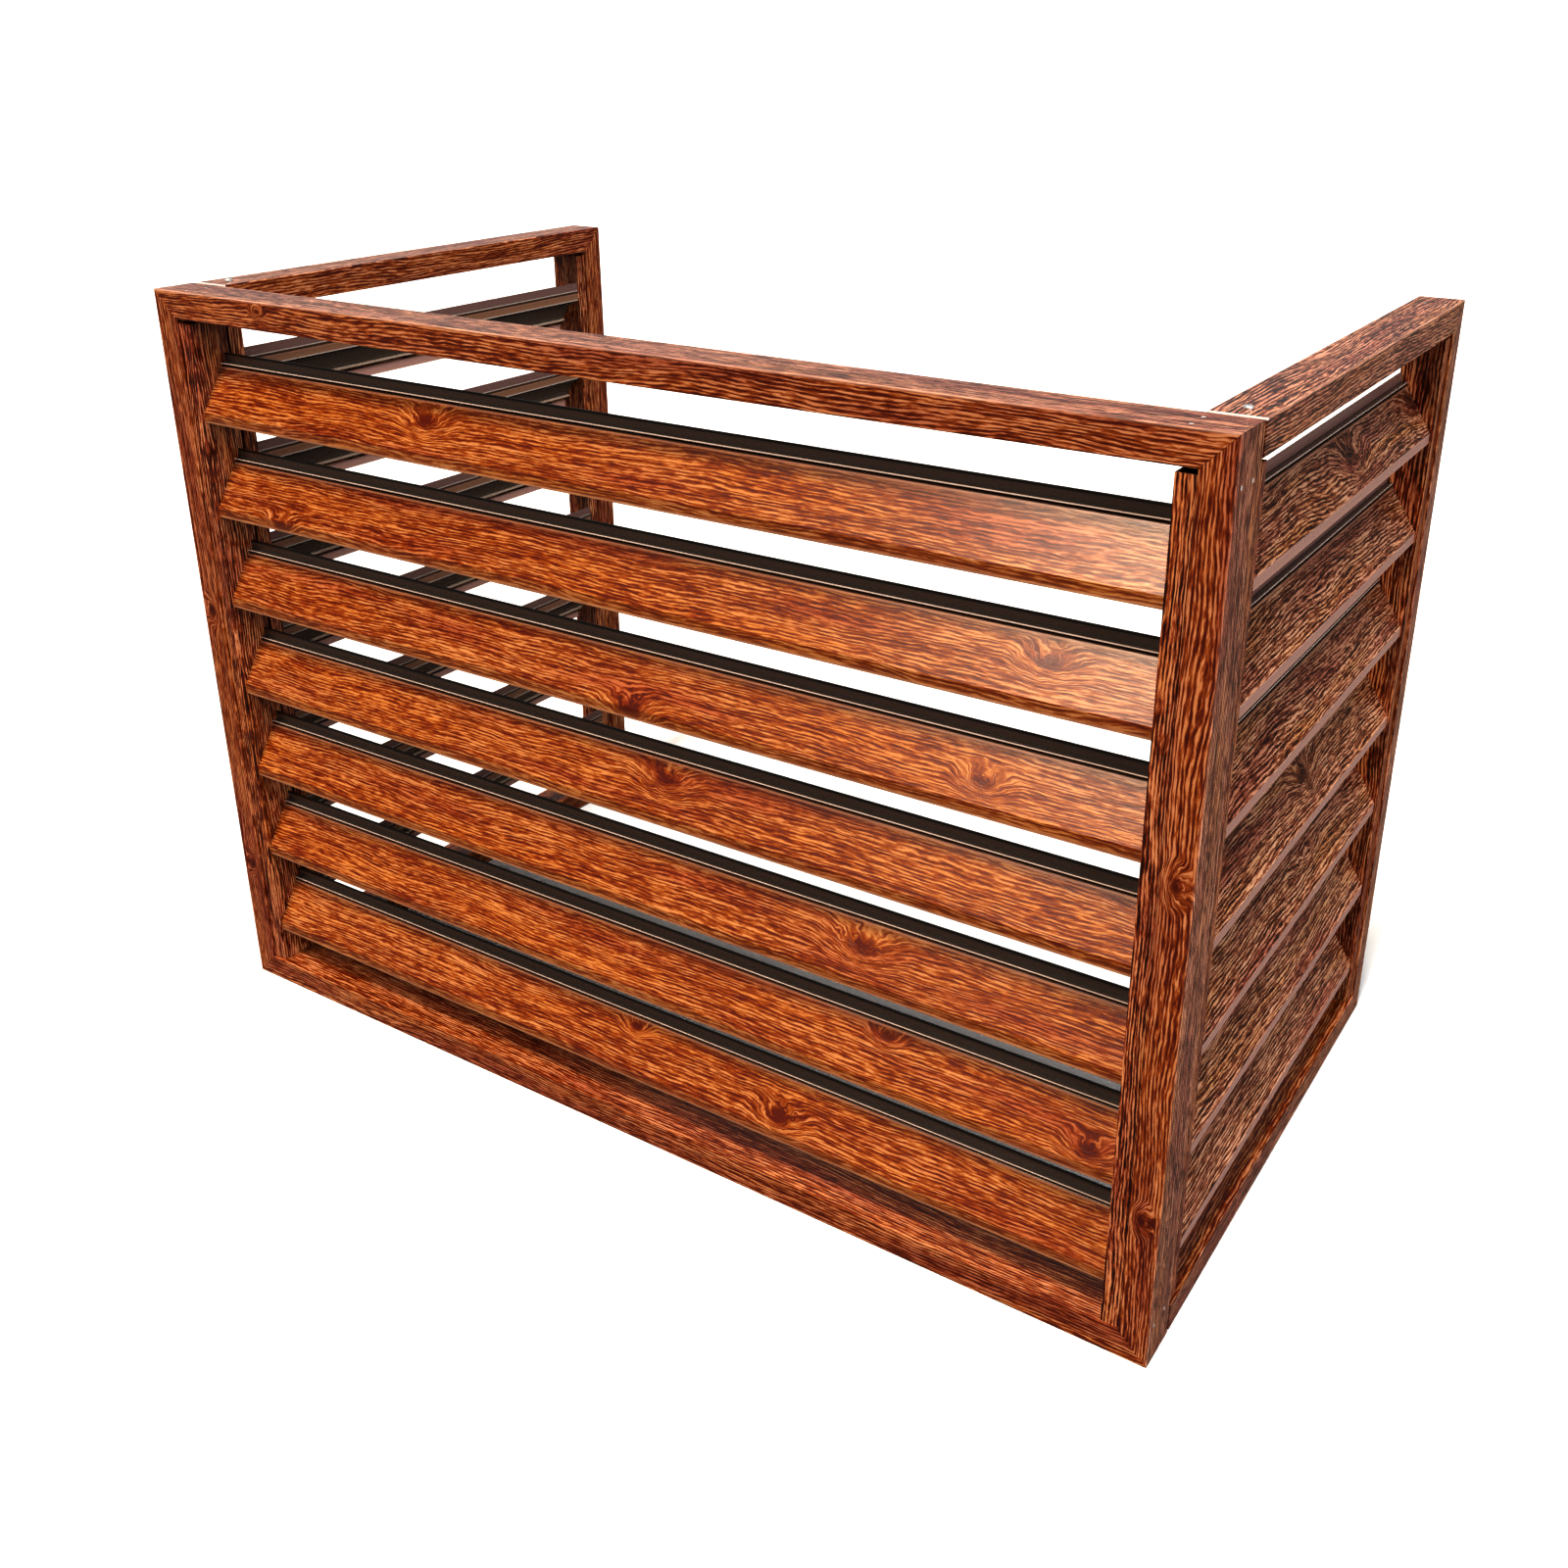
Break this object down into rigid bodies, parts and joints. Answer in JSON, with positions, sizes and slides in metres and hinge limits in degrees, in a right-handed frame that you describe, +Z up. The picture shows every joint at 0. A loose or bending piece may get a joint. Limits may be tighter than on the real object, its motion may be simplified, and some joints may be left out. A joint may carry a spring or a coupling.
{
  "type": "air conditioner screen",
  "caption": "Three-sided louvred screen, open at the top and back, that stands round the outdoor unit of an air conditioner.",
  "frame": {"origin": "on the floor, at the middle of the screen's footprint", "axes": "+X to the right along the front panel as seen from in front, +Y from the front panel to the open back, +Z up"},
  "size_m": [1.22, 0.69, 0.8728],
  "materials": {
    "frame": "dark red-brown wood grain powder coat on aluminium",
    "louvres": "warm brown wood grain powder coat on aluminium",
    "end_strips": "dark brown wood grain powder coat on aluminium",
    "cleats": "mill",
    "screws": "zinc plated"
  },
  "bodies": {
    "root": {"front_bottom_left_cleat": "cleats", "front_bottom_rail": "frame", "front_bottom_right_cleat": "cleats", "front_left_stile": "frame", "front_left_strip": "end_strips", "front_louvre_1": "louvres", "front_louvre_2": "louvres", "front_louvre_3": "louvres", "front_louvre_4": "louvres", "front_louvre_5": "louvres", "front_louvre_6": "louvres", "front_louvre_7": "louvres", "front_right_stile": "frame", "front_right_strip": "end_strips", "front_top_left_cleat": "cleats", "front_top_rail": "frame", "front_top_right_cleat": "cleats", "left_bottom_connector": "cleats", "left_bottom_fixing_screw": "screws", "left_bottom_joining_screw": "screws", "left_bottom_rail": "frame", "left_front_strip": "end_strips", "left_louvre_1": "louvres", "left_louvre_2": "louvres", "left_louvre_3": "louvres", "left_louvre_4": "louvres", "left_louvre_5": "louvres", "left_louvre_6": "louvres", "left_louvre_7": "louvres", "left_rear_bottom_cleat": "cleats", "left_rear_stile": "frame", "left_rear_strip": "end_strips", "left_rear_top_cleat": "cleats", "left_top_connector": "cleats", "left_top_fixing_screw": "screws", "left_top_joining_screw": "screws", "left_top_rail": "frame", "right_bottom_connector": "cleats", "right_bottom_fixing_screw": "screws", "right_bottom_joining_screw": "screws", "right_bottom_rail": "frame", "right_front_strip": "end_strips", "right_louvre_1": "louvres", "right_louvre_2": "louvres", "right_louvre_3": "louvres", "right_louvre_4": "louvres", "right_louvre_5": "louvres", "right_louvre_6": "louvres", "right_louvre_7": "louvres", "right_rear_bottom_cleat": "cleats", "right_rear_stile": "frame", "right_rear_strip": "end_strips", "right_rear_top_cleat": "cleats", "right_top_connector": "cleats", "right_top_fixing_screw": "screws", "right_top_joining_screw": "screws", "right_top_rail": "frame"}
  },
  "joints": []
}
